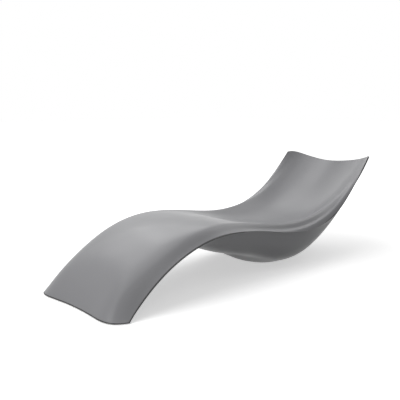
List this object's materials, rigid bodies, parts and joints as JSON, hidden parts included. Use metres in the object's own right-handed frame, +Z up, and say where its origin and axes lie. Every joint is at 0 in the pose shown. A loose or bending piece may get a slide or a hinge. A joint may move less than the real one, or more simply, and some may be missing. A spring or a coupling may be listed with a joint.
{
  "type": "sun lounger",
  "caption": "Moulded sun lounger with a wave profile: raised knees, dished seat and reclined back, on a hull-shaped base and its foot end.",
  "frame": {"origin": "on the floor, under the middle of the lounger", "axes": "+Z up, +Y towards the head end, +X towards the right side of a person lying on it with the head at +Y"},
  "size_m": [0.6726, 2.002, 0.5726],
  "materials": {
    "grey_gelcoat": "satin",
    "marine_plywood": "matte",
    "hardwood": "matte",
    "black_rubber": "matte",
    "stainless_steel": "satin",
    "brass": "satin",
    "grey_plastic": "matte"
  },
  "bodies": {
    "root": {"foot_block": "hardwood", "foot_pad_left": "black_rubber", "foot_pad_right": "black_rubber", "foot_pad_screw_left_inner": "stainless_steel", "foot_pad_screw_left_outer": "stainless_steel", "foot_pad_screw_right_inner": "stainless_steel", "foot_pad_screw_right_outer": "stainless_steel", "glide_front_left": "black_rubber", "glide_front_right": "black_rubber", "glide_rear_left": "black_rubber", "glide_rear_right": "black_rubber", "glide_screw_front_left": "stainless_steel", "glide_screw_front_right": "stainless_steel", "glide_screw_rear_left": "stainless_steel", "glide_screw_rear_right": "stainless_steel", "hull_drain_plug": "grey_plastic", "insert_front_left": "brass", "insert_front_right": "brass", "insert_rear_left": "brass", "insert_rear_right": "brass", "keel_board": "marine_plywood", "knee_rib": "marine_plywood", "lower_shell": "grey_gelcoat", "lumbar_rib": "marine_plywood", "seat_rib_front": "marine_plywood", "seat_rib_rear": "marine_plywood", "seat_stringer_left": "marine_plywood", "seat_stringer_right": "marine_plywood", "shin_rib": "marine_plywood", "shoulder_rib": "marine_plywood", "stem_rib": "marine_plywood", "upper_shell": "grey_gelcoat", "waist_rib": "marine_plywood"}
  },
  "joints": []
}
